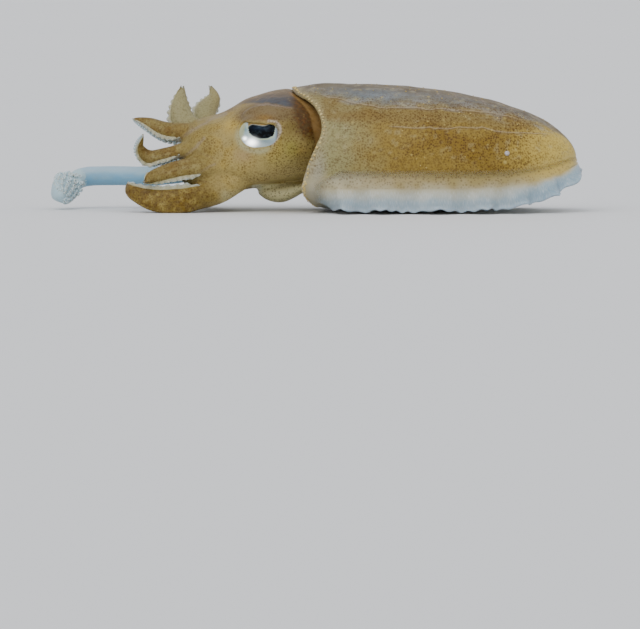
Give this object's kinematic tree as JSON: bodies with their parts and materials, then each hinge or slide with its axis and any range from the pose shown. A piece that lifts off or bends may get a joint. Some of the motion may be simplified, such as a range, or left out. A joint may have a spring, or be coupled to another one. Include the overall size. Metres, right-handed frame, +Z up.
{
  "type": "young broadclub cuttlefish model",
  "caption": "Life-size still model of a young cuttlefish lying on its belly, arms spread, one club-tipped tentacle stretched forward, ruffled fin along each side.",
  "frame": {"origin": "on the floor, under the middle of the model's box", "axes": "-X towards the head, -Y towards the animal's left side, +Z up towards its back"},
  "size_m": [0.113, 0.0478, 0.027],
  "materials": {
    "skin": "moist skin, ochre brown with dense dark brown dots and cream spots, satin",
    "arm": "moist skin, olive ochre with brown dots, pale sucker face, satin",
    "fin": "thin translucent bluish white skin, satin",
    "tentacle": "smooth translucent bluish white skin, satin",
    "eye": "silvery eyeball with a dark curved pupil under a clear gloss"
  },
  "bodies": {
    "root": {"mantle": "skin", "head": "skin", "fin_left": "fin", "fin_right": "fin", "eye_left": "eye", "eye_right": "eye", "funnel": "skin", "arm_left_1": "arm", "arm_left_2": "arm", "arm_left_3": "arm", "arm_left_4": "arm", "arm_right_1": "arm", "arm_right_2": "arm", "arm_right_3": "arm", "arm_right_4": "arm", "tentacle_stalk_near": "tentacle", "tentacle_stalk_far": "tentacle", "tentacle_club": "tentacle"}
  },
  "joints": []
}
